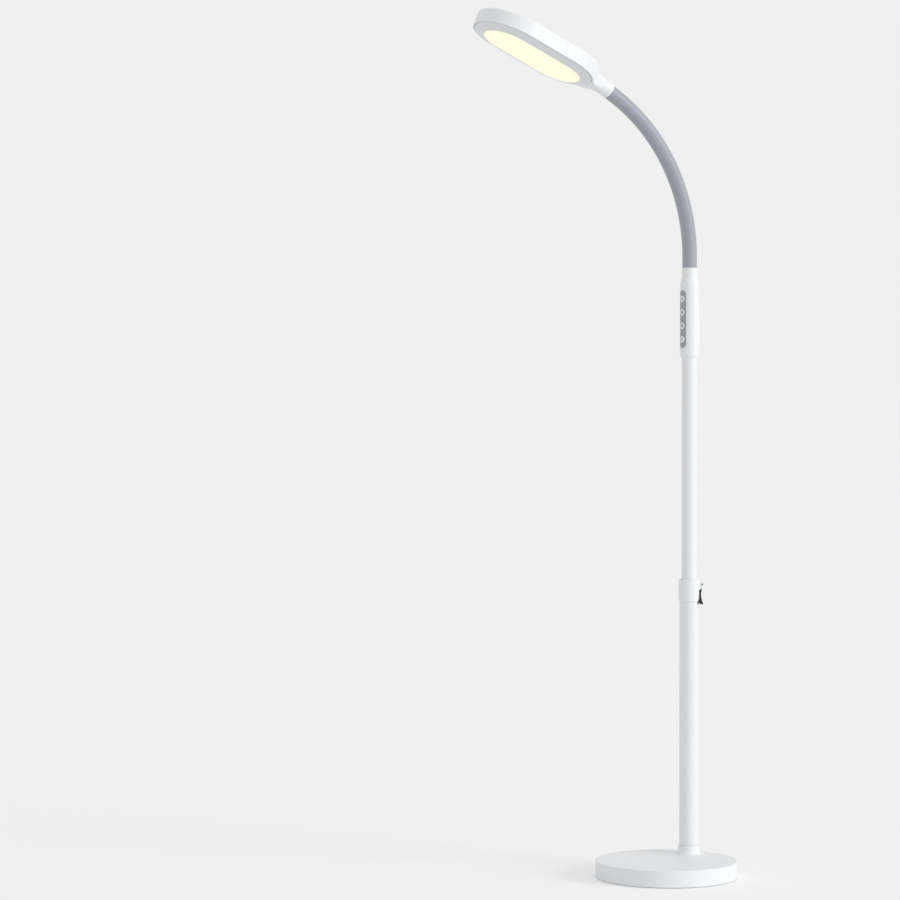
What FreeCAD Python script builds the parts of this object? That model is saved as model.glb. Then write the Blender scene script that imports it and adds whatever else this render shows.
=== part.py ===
import FreeCAD, Part
import math
import os

# Gooseneck reading floor lamp, all sizes in millimetres.
# Row frame: origin at the centre of the base's underside, +Z up, the arm reaches towards -Y.
# The pole stands off the base's centre, behind the arm.

V = FreeCAD.Vector
UP = V(0, 0, 1)
ORIGIN = V(0, 0, 0)
FULL_TURN = 360.0
HALF_TURN = FULL_TURN / 2
RIGHT_ANGLE = FULL_TURN / 4

# ---------------------------------------------------------------- clearances
RUN_FIT = 0.10        # radial clearance of pieces that slide or turn on each other
PIN_FIT = 0.05        # radial clearance of the lever on its pin
SEAT_GAP = 0.30       # between neighbours on different bodies that must not touch
LOOSE_FIT = 0.20      # inner pieces in their housings
HOLE_FIT = 0.25       # screws and bolts in their clearance holes
OVER = 1.0            # a cut starts and ends this far outside what it cuts
LEAD_IN = 1.0         # chamfer on the ends of pieces that push into a tube

# ---------------------------------------------------------------- base
base_radius = 109.3
base_height = 26.5            # floor to the top of the cover
base_lift = 1.0               # the cover's rim stands this far off the floor
base_wall = 2.4
base_edge_radius = 1.0
pad_inset = 5.3               # foam pad inside the cover's side
pad_thickness = 1.5
plate_thickness = 1.5
weight_inset = 11.3           # weight inside the cover's side
weight_thickness = 15.5
weight_edge_radius = 1.5
screw_boss_radius = 3.4
screw_boss_inset = 6.3
screw_count = 4
screw_first_angle = 20.0
screw_shank_radius = 1.4
screw_head_radius = 2.8
screw_head_height = 1.5
screw_length = 11.0
jack_radius = 5.8             # inlet body
jack_flange_radius = 7.0
jack_flange_thickness = 1.2
jack_length = 15.0
jack_bore_radius = 3.15       # takes a 5.5 mm barrel plug
jack_bore_depth = 9.5
jack_pin_radius = 1.05
jack_recess = 0.4             # inlet's face inside the cover's side
jack_pin_recess = 1.0         # pin's end inside the inlet's face
jack_height = 13.0            # axis above the floor
jack_pocket_width = 22.0      # notch in the weight behind the inlet
jack_pocket_depth = 14.0

# ---------------------------------------------------------------- pole
pole_x = -40.0
pole_inset = 42.3             # pole's axis inside the base's +Y side
lower_tube_radius = 15.0
lower_tube_wall = 1.2
upper_tube_radius = 12.0
upper_tube_wall = 1.1
foot_radius = 21.3            # flared foot where it meets the base
foot_waist_radius = 16.7
foot_flare_height = 8.0
foot_height = 14.1            # above the cover
foot_rim_height = 0.6         # straight edge under the flare
foot_bevel = 0.5
flare_hollow = (0.24, 0.34)   # the flare's middle, as shares of its width and height
foot_spigot_height = 34.0     # inside the lower tube
foot_reveal = 0.6             # dark line between foot and tube
foot_reveal_depth = 1.1
foot_notch_width = 3.0
foot_notch_height = 1.5
foot_notch_depth = 2.0
foot_notch_count = 3
bolt_radius = 4.0
bolt_head_radius = 6.5
bolt_head_height = 5.0
nut_width = 13.0              # across flats
nut_height = 6.5
nut_sink = 3.0                # nut's top below the foot's spigot
nut_room = 0.6                # between the nut's corners and its pocket
bolt_end_drop = 1.0           # bolt's end below the spigot's top
lead_hole_radius = 2.2
lead_hole_offset = 8.6
cover_boss_radius = 14.0      # carries the foot on the weight

# ---------------------------------------------------------------- clamp collar
collar_radius = 16.4
collar_height = 34.4
collar_bottom = 422.3
collar_cap_height = 15.7      # part of the collar above the lower tube's end
collar_chamfer = 1.1
collar_foot_chamfer = 0.5
collar_bush_wall = 0.9
collar_bush_lip = 0.8
lever_direction = 61.5        # degrees from +X, the side of the pole that carries the lever
pin_reach = 20.0              # pin's distance from the pole's axis
pin_drop = 7.5                # pin below the collar's top
pin_radius = 1.4
lever_hub_width = 7.0
lever_hub_radius = 3.0
cam_throw = 0.35
ear_thickness = 2.4
ear_nose_radius = 3.0
ear_drop = 8.2                # ears' lower end below the pin
ear_top_angle = 62.0          # degrees, where the ears' nose runs into their top edge
ear_low_angle = -38.0         # and into their lower edge
ear_root = 3.0                # the ears start this far inside the collar's outside
ear_top_run = 2.6             # their top edge meets the collar's top this far in
ear_chin = 0.9                # their lower edge stands this far out
lever_wrap_gap = 0.7          # lever to collar
lever_blade_thickness = 1.5
lever_neck_width = 12.0
lever_toe_width = 19.5
lever_toe_reach = 4.5         # how far the toe stands out from the collar
lever_shoulder_drop = 9.6     # where the blade widens, below the pin
lever_toe_drop = 31.5         # lever's end below the pin
lever_toe_height = 5.0
lever_shoulder_out = 0.8      # extra thickness at the shoulder
lever_shoulder_rise = 1.0
lever_flare_height = 6.0      # over which the blade widens to the toe
lever_toe_bevel = 1.2
lever_toe_slope = 3.0         # the toe's underside rises towards the tube
pad_height = 7.0
pad_shoe_thickness = 1.6

# ---------------------------------------------------------------- telescopic tube
joint_line = 784.2            # top of the upper tube, where the handle starts
end_plug_flange = 3.2
end_plug_depth = 12.0
end_plug_bore = 5.0
clip_width = 1.6
clip_wall = 0.9
clip_gap = 3.0                # its open ends
bush_length = 32.0
stop_gap = 0.4                # clip to the collar's step at full height
handle_plug_below = 34.0
handle_plug_above = 24.0
handle_plug_bore = 6.5

# ---------------------------------------------------------------- handle with the switches
handle_radius = 14.85
handle_wall = 2.0
handle_neck_length = 15.5     # slim part above the joint line
handle_shoulder_length = 8.0
handle_top = 943.4
handle_top_neck = 15.6
handle_top_taper = 9.4
handle_mouth_bevel = 0.3
joint_reveal = 0.6            # dark line between the tube and the handle
joint_reveal_depth = 0.6
shoulder_ease = (0.16, 0.26)  # the lower shoulder's two arcs: how far they swing, as shares
taper_bulge = 0.62            # the upper taper's middle, as a share of its step
plug_stop = 3.0               # slope above the plug, inside
nut_drop = 2.0                # room under the gooseneck's nut
nut_slope = 4.0
panel_turn = 7.0              # degrees, switches face a little to the side of the arm
panel_length = 90.0
panel_width = 14.0
panel_centre = 863.3
panel_thickness = 2.3
panel_recess = 0.12
panel_gap = 0.15
button_count = 4
button_pitch = 21.0
button_radius = 5.4
button_gap = 0.2
button_proud = 0.25
button_travel = 0.8
button_flange_radius = 6.0
button_flange_thickness = 1.0
button_stem_radius = 1.6
board_width = 12.0
board_thickness = 1.6
board_inset = 3.0             # board's ends inside the panel's
board_depth = 10.3            # board's front face behind the handle's surface
switch_side = 6.0
switch_height = 2.5
plunger_radius = 1.7
plunger_height = 0.5
panel_post_radius = 2.2
panel_post_inset = 5.2
panel_screw_radius = 1.0
panel_screw_head_radius = 1.9
panel_screw_length = 6.0
panel_screw_head_height = 1.2

# ---------------------------------------------------------------- gooseneck
neck_radius = 11.5
neck_bore = 4.5
neck_straight_low = 16.6      # straight stretch above the handle
neck_bend_radius = 287.0
neck_links = 12
neck_link_length = 24.0
neck_straight_high = 18.0
neck_ball_radius = 13.2
neck_socket_depth = 4.4       # the sleeve's slim end inside the handle's mouth
neck_fitting_radius = 8.0
neck_fitting_bore = 4.5
neck_fitting_length = 22.0
neck_fitting_flange = 3.0
neck_nut_height = 6.0
neck_nut_wall = 0.9           # from its thread to its flats
neck_shoulder = 5.0
fitting_flange_radius = 10.6

# ---------------------------------------------------------------- head
head_pitch = 24.7             # degrees above the horizontal
window_half_straight = 41.0
window_radius = 43.4
window_centre = 143.3         # from the gooseneck's mouth, along the head
window_drop = 14.9            # below the mouth's centre, square to the window
bezel_width = 20.0
bezel_rise = 5.6
bezel_groove = 0.7
head_wall = 2.2
head_tip_thickness = 23.0
head_root_thickness = 23.4
head_edge_radius = 3.0
head_neck_radius = 12.0
head_fillet_radius = 42.0     # between neck and body, seen from above
head_insert = 6.0             # the sleeve's slim end inside the head's neck
head_shoulder = 36.0          # over which the back meets the neck
neck_corner_flat = 0.4        # short straight sides left on the neck's nearly round section
neck_stations = (0.5, 0.85)   # the neck's sections before the hollow corners, as shares
head_rim_radius = 0.6
loft_draw = 0.03              # the neck's loft lies this far inside the plate's faces
loft_shares = (0.06, 0.13, 0.19, 0.24, 0.28, 0.32, 0.36, 0.42)  # its sections, as shares of the way
                              # from the hollow corners' start to the widest place
bezel_thickness = 2.0
bezel_skirt = 3.0             # its outer wall stands this far above the back plate's level
slope_factor = 1.1            # a sloped wall is this much thicker when measured upright
bezel_post_radius = 50.4      # screw posts' distance from the window's centre line
bezel_post_size = 2.2
diffuser_step = 2.0           # the diffuser's flange behind the bezel's lip
diffuser_recess = 0.2
diffuser_flange = 1.2
lip_thickness = 1.6
guide_thickness = 3.0
reflector_thickness = 0.6
led_board_thickness = 1.0
led_size = 2.4
led_height = 0.7
led_count = 10
led_pitch = 7.8
back_plate_thickness = 1.5
head_screw_radius = 0.9
head_screw_head_radius = 1.8
head_screw_length = 3.2
head_screw_head_height = 1.2

# ---------------------------------------------------------------- derived places
pole_y = base_radius - pole_inset
pad_radius = base_radius - pad_inset
weight_radius = base_radius - weight_inset
screw_boss_circle = base_radius - screw_boss_inset
plate_bottom = pad_thickness
weight_bottom = plate_bottom + plate_thickness
weight_top = weight_bottom + weight_thickness
cover_ceiling = base_height - base_wall
foot_top = base_height + foot_height
spigot_radius = lower_tube_radius - lower_tube_wall
spigot_top = foot_top + foot_spigot_height
nut_bottom = spigot_top - nut_sink - nut_height
lower_tube_bottom = foot_top + foot_reveal
collar_top = collar_bottom + collar_height
lower_tube_top = collar_top - collar_cap_height
collar_bore = upper_tube_radius + RUN_FIT + collar_bush_wall
pin_height = collar_top - pin_drop
clip_top = lower_tube_top - stop_gap
bush_top = clip_top - clip_width - SEAT_GAP
bush_bottom = bush_top - bush_length
upper_tube_bottom = bush_bottom - SEAT_GAP
upper_bore = upper_tube_radius - upper_tube_wall
bush_radius = spigot_radius - RUN_FIT
handle_bore = handle_radius - handle_wall
handle_shoulder = joint_line + handle_neck_length
handle_bottom = handle_shoulder + handle_shoulder_length
taper_top = handle_top - handle_top_neck
taper_bottom = taper_top - handle_top_taper
panel_outer = handle_radius - panel_recess
panel_inner = panel_outer - panel_thickness
board_front = handle_radius - board_depth
board_back = board_front - board_thickness
board_length = panel_length - 2 * board_inset
neck_arc_start = handle_top + neck_straight_low
link_angle = math.degrees(neck_link_length / neck_bend_radius)
neck_end_lean = neck_links * link_angle
half_link = neck_bend_radius * math.tan(math.radians(link_angle / 2))
neck_seat = handle_top - neck_socket_depth
rim_level = bezel_rise - window_drop
head_outer = window_radius + bezel_width
neck_corner = head_neck_radius - neck_corner_flat
seat_level = lip_thickness - window_drop
plate_level = seat_level + diffuser_flange + guide_thickness + reflector_thickness
head_near_centre = window_centre - window_half_straight
head_far_centre = window_centre + window_half_straight
head_near_end = head_near_centre - head_outer
head_far_end = head_far_centre + head_outer
neck_pitch = RIGHT_ANGLE - neck_end_lean
mouth_lean = neck_pitch - head_pitch
fillet_start = head_near_centre - math.sqrt((head_outer + head_fillet_radius) ** 2
                                            - (head_neck_radius + head_fillet_radius) ** 2)


# ---------------------------------------------------------------- helpers
def polygon(points):
    """A closed wire through (x, z) points in the XZ plane."""
    corners = [V(x, 0, z) for x, z in points]
    return Part.makePolygon(corners + corners[:1])


def turned(points):
    """A solid of revolution about Z from (radius, height) points."""
    return Part.Face(polygon(points)).revolve(ORIGIN, UP, FULL_TURN)


def lines(points):
    """Straight edges through the points, in order."""
    return [Part.LineSegment(a, b).toShape() for a, b in zip(points, points[1:])]


def turned_wire(edges):
    """A solid of revolution about Z from the edges of a closed outline in the XZ plane."""
    return Part.Face(Part.Wire(Part.__sortEdges__(edges))).revolve(ORIGIN, UP, FULL_TURN)


def rod(radius, bottom, top, x=0.0, y=0.0):
    """An upright cylinder."""
    return Part.makeCylinder(radius, top - bottom, V(x, y, bottom))


def ring(outer, inner, bottom, top):
    """An upright tube."""
    return rod(outer, bottom, top).cut(rod(inner, bottom, top))


def block(x_size, y_size, z_size, x=0.0, y=0.0, z=0.0):
    """A box centred on x and y that stands on z."""
    return Part.makeBox(x_size, y_size, z_size, V(x - x_size / 2, y - y_size / 2, z))


def hexagon(flats, bottom, top):
    """A hexagonal prism with the given width across its flats."""
    reach = flats / 2 / math.cos(math.pi / 6)
    corners = [V(reach * math.cos(k * math.pi / 3), reach * math.sin(k * math.pi / 3), bottom)
               for k in range(6)]
    return Part.Face(Part.makePolygon(corners + corners[:1])).extrude(V(0, 0, top - bottom))


def pick(shape, test):
    """The edges of a shape whose middle passes a test."""
    chosen = []
    for edge in shape.Edges:
        middle = edge.valueAt((edge.FirstParameter + edge.LastParameter) / 2)
        if test(middle, edge):
            chosen.append(edge)
    return chosen


def largest(shape):
    """The largest solid of a shape, for a cut that may leave its plug behind."""
    return max(shape.Solids, key=lambda solid: solid.Volume)


def on_pole(shape, turn=0.0):
    """Turn a shape about the pole's axis, then set it on the pole."""
    shape.rotate(ORIGIN, UP, turn)
    shape.translate(V(pole_x, pole_y, 0))
    return shape


def on_arm(shape):
    """From the arm's plane, where +X reaches out, to the lamp."""
    return on_pole(shape, -RIGHT_ANGLE)


def on_handle(shape):
    """From the handle's frame, where +X faces out of the switches, to the lamp."""
    return on_pole(shape, panel_turn - RIGHT_ANGLE)


def on_lever_side(shape):
    """From the clamp's frame, where +X points at the lever, to the lamp."""
    return on_pole(shape, lever_direction)


def neck_point(arc):
    """The centre line in the arm's plane, arc millimetres past the start of the bend, and its lean."""
    total = neck_links * neck_link_length
    bent = min(max(arc, 0.0), total)
    lean = bent / neck_bend_radius
    x = neck_bend_radius * (1 - math.cos(lean))
    z = neck_arc_start + neck_bend_radius * math.sin(lean)
    rest = arc - bent
    return V(x + rest * math.sin(lean), 0, z + rest * math.cos(lean)), math.degrees(lean)


def hinge_point(number):
    """Where hinge number 1, 2, ... of the gooseneck lies: on the axes of both links that meet there."""
    start, lean = neck_point((number - 1) * neck_link_length)
    lean = math.radians(lean)
    return start + V(math.sin(lean), 0, math.cos(lean)) * half_link


def mouth_arc():
    """Where the head's mouth lies along the gooseneck."""
    return neck_links * neck_link_length + neck_straight_high


def on_head(shape):
    """From the head's frame, +X out along the head and +Z out of its back, to the lamp."""
    shape.rotate(ORIGIN, V(0, 1, 0), -head_pitch)
    shape.translate(neck_point(mouth_arc())[0])
    return on_arm(shape)


def save(name, shape):
    """Write one piece, or one set of loose equal pieces, as a STEP file."""
    shape.exportStep("parts/" + name + ".step")


# ---------------------------------------------------------------- base
def boss_places():
    for k in range(screw_count):
        angle = math.radians(screw_first_angle + k * FULL_TURN / screw_count)
        yield screw_boss_circle * math.cos(angle), screw_boss_circle * math.sin(angle)


def make_foot_pad():
    return rod(pad_radius, 0, pad_thickness)


def make_base_plate():
    plate = rod(base_radius - base_wall - LOOSE_FIT, plate_bottom, weight_bottom)
    for x, y in boss_places():
        plate = plate.cut(rod(screw_shank_radius + HOLE_FIT, plate_bottom, weight_bottom, x, y))
        sink = Part.makeCone(screw_head_radius, screw_shank_radius + HOLE_FIT, plate_thickness,
                             V(x, y, plate_bottom))
        plate = plate.cut(sink)
    return plate


def make_base_screws():
    screws = []
    for x, y in boss_places():
        head = Part.makeCone(screw_head_radius - HOLE_FIT, screw_shank_radius, screw_head_height,
                             V(x, y, plate_bottom))
        shank = rod(screw_shank_radius, plate_bottom + screw_head_height,
                    plate_bottom + screw_length, x, y)
        screws.append(head.fuse(shank).removeSplitter())
    return Part.makeCompound(screws)


def make_base_weight():
    weight = rod(weight_radius, weight_bottom, weight_top)
    weight = weight.makeFillet(weight_edge_radius,
                               pick(weight, lambda p, e: p.z > weight_top - OVER and e.Closed))
    weight = weight.cut(rod(bolt_radius + HOLE_FIT, weight_bottom, weight_top, pole_x, pole_y))
    weight = weight.cut(rod(bolt_head_radius + LOOSE_FIT, weight_bottom,
                            weight_bottom + bolt_head_height + LOOSE_FIT, pole_x, pole_y))
    notch = block(jack_pocket_width, jack_pocket_depth, weight_thickness,
                  0, weight_radius - jack_pocket_depth / 2 + OVER, weight_bottom)
    return weight.cut(notch)


def make_base_cover():
    outer = rod(base_radius, base_lift, base_height)
    outer = outer.makeFillet(base_edge_radius,
                             pick(outer, lambda p, e: p.z > base_height - OVER and e.Closed))
    cover = outer.cut(rod(base_radius - base_wall, base_lift, cover_ceiling))
    for x, y in boss_places():
        boss = rod(screw_boss_radius, weight_bottom, cover_ceiling, x, y)
        pilot = rod(screw_shank_radius, weight_bottom, plate_bottom + screw_length, x, y)
        cover = cover.fuse(boss).cut(pilot)
    cover = cover.fuse(rod(cover_boss_radius, weight_top, cover_ceiling, pole_x, pole_y))
    cover = cover.cut(rod(bolt_radius + HOLE_FIT, weight_top, base_height, pole_x, pole_y))
    lead = rod(lead_hole_radius, weight_top, base_height, pole_x + lead_hole_offset, pole_y)
    lead_way = block(cover_boss_radius, 2 * lead_hole_radius, cover_ceiling - weight_top,
                     pole_x + lead_hole_offset + cover_boss_radius / 2, pole_y, weight_top)
    inlet = Part.makeCylinder(jack_radius + LOOSE_FIT, 3 * base_wall,
                              V(0, base_radius - 2 * base_wall, jack_height), V(0, 1, 0))
    return cover.cut(lead).cut(lead_way).cut(inlet)


def make_dc_jack():
    """The inlet, built along +Y with its flange inside the cover's wall."""
    out = V(0, 1, 0)
    seat = math.sqrt((base_radius - base_wall) ** 2 - jack_flange_radius ** 2)
    face = base_radius - jack_recess
    body = Part.makeCylinder(jack_radius, face - (seat - jack_length), V(0, seat - jack_length,
                             jack_height), out)
    flange = Part.makeCylinder(jack_flange_radius, jack_flange_thickness,
                               V(0, seat - jack_flange_thickness, jack_height), out)
    bore = Part.makeCylinder(jack_bore_radius, jack_bore_depth + OVER,
                             V(0, face - jack_bore_depth, jack_height), out)
    pin = Part.makeCylinder(jack_pin_radius, jack_bore_depth - jack_pin_recess,
                            V(0, face - jack_bore_depth, jack_height), out)
    return body.fuse(flange).cut(bore).fuse(pin).removeSplitter()


# ---------------------------------------------------------------- foot and lower tube
def make_pole_foot():
    flare_top = base_height + foot_flare_height
    side = foot_radius - foot_waist_radius
    rim = base_height + foot_rim_height
    start = V(foot_radius, 0, rim)
    middle = V(foot_waist_radius + side * flare_hollow[0], 0,
               rim + (flare_top - rim) * flare_hollow[1])
    end = V(foot_waist_radius, 0, flare_top)
    reveal = lower_tube_radius - foot_reveal_depth
    corners = [end, V(foot_waist_radius, 0, foot_top - foot_bevel),
               V(foot_waist_radius - foot_bevel, 0, foot_top),
               V(reveal, 0, foot_top), V(reveal, 0, lower_tube_bottom),
               V(spigot_radius, 0, lower_tube_bottom), V(spigot_radius, 0, spigot_top - LEAD_IN),
               V(spigot_radius - LEAD_IN, 0, spigot_top), V(0, 0, spigot_top), V(0, 0, base_height),
               V(foot_radius, 0, base_height), start]
    foot = turned_wire([Part.Arc(start, middle, end).toShape()] + lines(corners))
    foot = foot.cut(rod(bolt_radius + HOLE_FIT, base_height, spigot_top))
    nut_reach = nut_width / 2 / math.cos(math.pi / 6)
    foot = foot.cut(rod(nut_reach + nut_room, nut_bottom, spigot_top))
    foot = foot.cut(rod(lead_hole_radius, base_height, spigot_top, lead_hole_offset, 0))
    for number in range(foot_notch_count):
        notch = block(2 * foot_notch_depth, foot_notch_width, foot_notch_height,
                      foot_waist_radius, 0, lower_tube_bottom - foot_notch_height)
        notch.rotate(ORIGIN, UP, number * FULL_TURN / foot_notch_count - RIGHT_ANGLE)
        foot = foot.cut(notch)
    return on_pole(foot)


def make_pole_bolt():
    shank_bottom = weight_bottom + bolt_head_height
    shank = rod(bolt_radius, shank_bottom, spigot_top - bolt_end_drop)
    flats = 2 * bolt_head_radius * math.cos(math.pi / 6)
    return on_pole(hexagon(flats, weight_bottom, shank_bottom).fuse(shank))


def make_pole_nut():
    nut = hexagon(nut_width, nut_bottom, nut_bottom + nut_height)
    return on_pole(nut.cut(rod(bolt_radius, nut_bottom, nut_bottom + nut_height)))


def make_lower_tube():
    tube = ring(lower_tube_radius, spigot_radius, lower_tube_bottom, lower_tube_top)
    return on_pole(tube)


# ---------------------------------------------------------------- clamp collar and its lever
def ear_outline():
    """The ears' side view in the clamp's frame."""
    nose = V(pin_reach, 0, pin_height)
    top, low = [nose + V(ear_nose_radius * math.cos(math.radians(angle)), 0,
                         ear_nose_radius * math.sin(math.radians(angle)))
                for angle in (ear_top_angle, ear_low_angle)]
    front = nose + V(ear_nose_radius, 0, 0)
    inside = collar_radius - ear_root
    chin_height = pin_height - ear_drop
    run = [top, V(collar_radius - ear_top_run, 0, collar_top), V(inside, 0, collar_top),
           V(inside, 0, chin_height), V(collar_radius + ear_chin, 0, chin_height), low]
    return Part.Face(Part.Wire([Part.Arc(low, front, top).toShape()] + lines(run)))


def make_clamp_collar():
    body = turned([(lower_tube_radius, collar_bottom),
                   (collar_radius - collar_foot_chamfer, collar_bottom),
                   (collar_radius, collar_bottom + 2 * collar_foot_chamfer),
                   (collar_radius, collar_top - collar_chamfer),
                   (collar_radius - collar_chamfer, collar_top), (collar_bore, collar_top),
                   (collar_bore, lower_tube_top), (lower_tube_radius, lower_tube_top)])
    half_gap = lever_hub_width / 2 + SEAT_GAP
    half_ears = half_gap + ear_thickness
    ears = ear_outline().extrude(V(0, 2 * half_ears, 0))
    ears.translate(V(0, -half_ears, 0))
    ears = ears.cut(rod(collar_bore + SEAT_GAP, collar_bottom, collar_top))
    collar = body.fuse(ears)
    # the hub's way: a window through the wall and the gap between the ears
    window_bottom = lower_tube_top + SEAT_GAP
    window_reach = pin_reach + ear_nose_radius + OVER
    window = block(window_reach - collar_bore + ear_root, 2 * half_gap,
                   collar_top - collar_chamfer - window_bottom,
                   (window_reach + collar_bore - ear_root) / 2, 0, window_bottom)
    slot = block(window_reach - collar_radius, 2 * half_gap, ear_drop + pin_drop + 2 * OVER,
                 (window_reach + collar_radius) / 2, 0, pin_height - ear_drop - OVER)
    collar = collar.cut(window).cut(slot)
    hole = Part.makeCylinder(pin_radius, 2 * half_ears, V(pin_reach, -half_ears, pin_height),
                             V(0, 1, 0))
    return on_lever_side(collar.cut(hole).removeSplitter())


def make_collar_bush():
    inner = upper_tube_radius + RUN_FIT
    bush = ring(collar_bore, inner, lower_tube_top, collar_top - collar_bush_lip)
    window = block(collar_radius, lever_hub_width + 2 * SEAT_GAP, pad_height + 2 * SEAT_GAP,
                   collar_radius / 2, 0, pin_height - pad_height / 2 - SEAT_GAP)
    return on_lever_side(bush.cut(window))


def make_clamp_pad():
    """The shoe that the cam presses against the sliding tube."""
    inner = upper_tube_radius + RUN_FIT
    back = pin_reach - lever_hub_radius - cam_throw - RUN_FIT
    front = inner - pad_shoe_thickness
    shoe = block(back - front, lever_hub_width - SEAT_GAP, pad_height, (back + front) / 2, 0,
                 pin_height - pad_height / 2)
    return on_lever_side(shoe.cut(rod(inner, collar_bottom, collar_top)))


def make_lever_pin():
    half = lever_hub_width / 2 + SEAT_GAP + ear_thickness
    return on_lever_side(Part.makeCylinder(pin_radius, 2 * half, V(pin_reach, -half, pin_height),
                                           V(0, 1, 0)))


def make_clamp_lever():
    inside = collar_radius + lever_wrap_gap
    outside = inside + lever_blade_thickness
    foot_z = pin_height - lever_toe_drop
    knee = foot_z + lever_toe_height
    shoulder = pin_height - lever_shoulder_drop
    shoulder_top = shoulder + lever_shoulder_rise
    # side view: a thin blade whose outer side hollows towards a thick toe
    waist = V(outside, 0, (shoulder + knee) / 2)
    start = V(outside + lever_shoulder_out, 0, shoulder_top)
    tip = V(inside + lever_toe_reach, 0, foot_z + lever_toe_bevel)
    root = inside - 2 * lever_toe_slope
    run = [tip, V(tip.x - lever_toe_bevel, 0, foot_z), V(root, 0, foot_z + lever_toe_slope),
           V(root, 0, shoulder_top), start]
    side = Part.Face(Part.Wire([Part.Arc(start, waist, tip).toShape()] + lines(run)))
    blade = side.extrude(V(0, lever_toe_width, 0))
    blade.translate(V(0, -lever_toe_width / 2, 0))
    # front view: the blade widens from a neck to the toe
    half_neck = lever_neck_width / 2
    half_toe = lever_toe_width / 2
    flare = knee + lever_flare_height
    right = [V(0, half_neck, shoulder_top), V(0, half_neck, flare), V(0, half_toe, knee),
             V(0, half_toe, foot_z - OVER)]
    left = [V(0, -corner.y, corner.z) for corner in reversed(right)]
    front = Part.Face(Part.makePolygon(right + left + right[:1])).extrude(V(tip.x + OVER, 0, 0))
    blade = blade.common(front)
    # the hub is an eccentric on the pin, joined to the blade by a web between the ears
    hub = Part.makeCylinder(lever_hub_radius, lever_hub_width,
                            V(pin_reach - cam_throw, -lever_hub_width / 2, pin_height), V(0, 1, 0))
    web_bottom = shoulder - lever_shoulder_rise
    web = block(start.x - inside, lever_hub_width, pin_height - web_bottom,
                (start.x + inside) / 2, 0, web_bottom)
    lever = hub.fuse(web).fuse(blade)
    lever = lever.cut(rod(inside, foot_z - OVER, shoulder_top))
    bore = Part.makeCylinder(pin_radius + PIN_FIT, lever_hub_width,
                             V(pin_reach, -lever_hub_width / 2, pin_height), V(0, 1, 0))
    return on_lever_side(lever.cut(bore).removeSplitter())


# ---------------------------------------------------------------- telescopic tube
def make_guide_bush():
    return on_pole(ring(bush_radius, upper_tube_radius + PIN_FIT, bush_bottom, bush_top))


def make_bush_clip():
    clip = ring(upper_tube_radius + clip_wall, upper_tube_radius, clip_top - clip_width, clip_top)
    gap = block(upper_tube_radius, clip_gap, clip_width, -upper_tube_radius, 0, clip_top - clip_width)
    return on_pole(clip.cut(gap))


def make_tube_end_plug():
    flange_bottom = upper_tube_bottom - end_plug_flange
    flange = bush_radius - LOOSE_FIT
    plug_top = upper_tube_bottom + end_plug_depth
    plug = turned([(end_plug_bore, flange_bottom), (flange - LEAD_IN, flange_bottom),
                   (flange, flange_bottom + LEAD_IN), (flange, upper_tube_bottom),
                   (upper_bore, upper_tube_bottom), (upper_bore, plug_top - LEAD_IN),
                   (upper_bore - LEAD_IN, plug_top), (end_plug_bore, plug_top)])
    return on_pole(plug)


def make_upper_tube():
    return on_pole(ring(upper_tube_radius, upper_bore, upper_tube_bottom, joint_line))


def make_handle_plug():
    low = joint_line - handle_plug_below
    high = joint_line + handle_plug_above
    plug = turned([(handle_plug_bore, low), (upper_bore - LEAD_IN, low), (upper_bore, low + LEAD_IN),
                   (upper_bore, high - LEAD_IN), (upper_bore - LEAD_IN, high),
                   (handle_plug_bore, high)])
    return on_pole(plug)


# ---------------------------------------------------------------- handle and switches
def pill(width, length, reach):
    """A pill-shaped prism along +X, centred on the switches' height."""
    radius = width / 2
    middle = length / 2 - radius
    prism = block(reach, width, 2 * middle, reach / 2, 0, panel_centre - middle)
    for z in (panel_centre - middle, panel_centre + middle):
        prism = prism.fuse(Part.makeCylinder(radius, reach, V(0, 0, z), V(1, 0, 0)))
    return prism.removeSplitter()


def make_handle_body():
    slim = upper_tube_radius
    rise = handle_radius - slim
    across, along = shoulder_ease
    low_start = V(slim, 0, handle_shoulder)
    low_end = V(handle_radius, 0, handle_bottom)
    low_middle = (low_start + low_end) * 0.5
    low_in = V(slim + rise * across, 0, handle_shoulder + handle_shoulder_length * along)
    low_out = low_start + low_end - low_in
    high_start = V(handle_radius, 0, taper_bottom)
    high_middle = V(slim + rise * taper_bulge, 0, (taper_bottom + taper_top) / 2)
    high_end = V(slim, 0, taper_top)
    edges = [Part.Arc(low_start, low_in, low_middle).toShape(),
             Part.Arc(low_middle, low_out, low_end).toShape(),
             Part.Arc(high_start, high_middle, high_end).toShape()]
    plug_top = joint_line + handle_plug_above
    nut_seat = neck_seat - neck_shoulder
    flange_seat = neck_seat - neck_fitting_flange
    room = fitting_flange_radius
    hole = neck_fitting_radius + PIN_FIT
    reveal = slim - joint_reveal_depth
    inside = [low_start, V(slim, 0, joint_line + joint_reveal),
              V(reveal, 0, joint_line + joint_reveal), V(reveal, 0, joint_line),
              V(upper_bore, 0, joint_line),
              V(upper_bore, 0, plug_top), V(handle_bore, 0, plug_top + plug_stop),
              V(handle_bore, 0, taper_bottom - nut_slope),
              V(room, 0, nut_seat - neck_nut_height - nut_drop), V(room, 0, nut_seat),
              V(hole, 0, nut_seat), V(hole, 0, flange_seat), V(room, 0, flange_seat),
              V(room, 0, handle_top), V(slim - handle_mouth_bevel, 0, handle_top),
              V(slim, 0, handle_top - handle_mouth_bevel), high_end]
    body = turned_wire(edges + lines(inside) + lines([low_end, high_start]))
    opening = pill(panel_width + 2 * panel_gap, panel_length + 2 * panel_gap, 2 * handle_radius)
    return on_handle(body.cut(opening))


def button_heights():
    first = panel_centre + (button_count - 1) * button_pitch / 2
    return [first - k * button_pitch for k in range(button_count)]


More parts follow.
